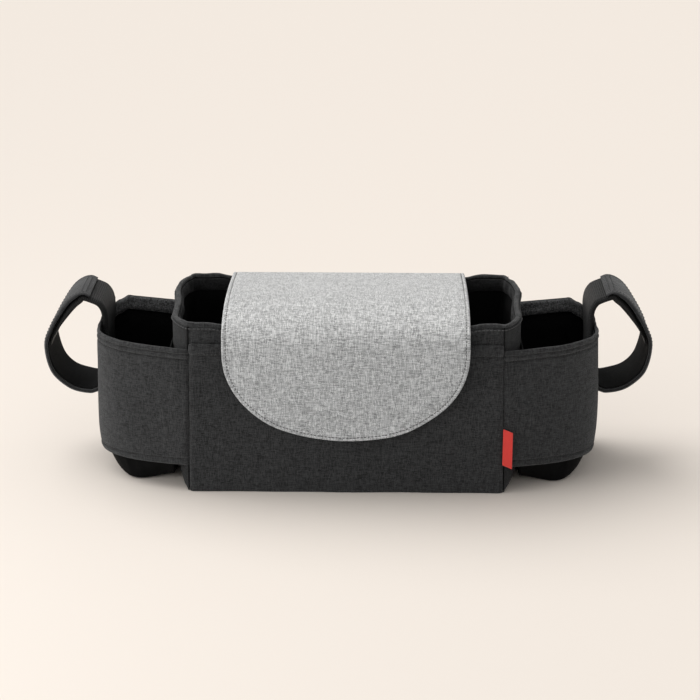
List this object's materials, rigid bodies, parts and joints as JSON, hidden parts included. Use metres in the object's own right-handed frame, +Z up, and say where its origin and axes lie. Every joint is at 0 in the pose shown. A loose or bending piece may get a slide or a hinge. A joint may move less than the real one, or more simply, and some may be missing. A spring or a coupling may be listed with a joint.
{
  "type": "stroller organizer",
  "caption": "Open-topped fabric box with a rounded cover flap, a cup holder sewn to each side, and strap loops that hang it on a stroller's handle.",
  "frame": {"origin": "middle of the footprint, on the ground under the box", "axes": "+X from one strap loop to the other, to the right as seen from the front; +Y from the flap's hanging end to the back panel; +Z up"},
  "size_m": [0.507, 0.1336, 0.1497],
  "materials": {
    "shell_fabric": "charcoal melange canvas, matt",
    "lining_fabric": "black woven lining, slight sheen",
    "flap_fabric": "light grey melange canvas, matt",
    "webbing": "black ribbed webbing",
    "hook_and_loop": "black hook and loop tape",
    "tag_fabric": "red woven tab, bare",
    "board": "plain stiffener board"
  },
  "bodies": {
    "root": {"front_panel": "shell_fabric", "back_panel": "shell_fabric", "left_gusset": "shell_fabric", "right_gusset": "shell_fabric", "bottom_panel": "lining_fabric", "base_board": "board", "box_lining": "lining_fabric", "rim_binding": "shell_fabric", "front_pocket": "shell_fabric", "pocket_loop_patch": "hook_and_loop", "flap_hook_patch": "hook_and_loop", "flap_shell": "flap_fabric", "flap_lining": "lining_fabric", "side_tag": "tag_fabric", "left_cup_sleeve": "shell_fabric", "left_cup_pouch": "lining_fabric", "left_wing_facing": "shell_fabric", "left_strap": "shell_fabric", "left_strap_lining": "hook_and_loop", "left_strap_hook": "hook_and_loop", "left_strap_webbing": "webbing", "right_cup_sleeve": "shell_fabric", "right_cup_pouch": "lining_fabric", "right_wing_facing": "shell_fabric", "right_strap": "shell_fabric", "right_strap_lining": "hook_and_loop", "right_strap_hook": "hook_and_loop", "right_strap_webbing": "webbing"}
  },
  "joints": []
}
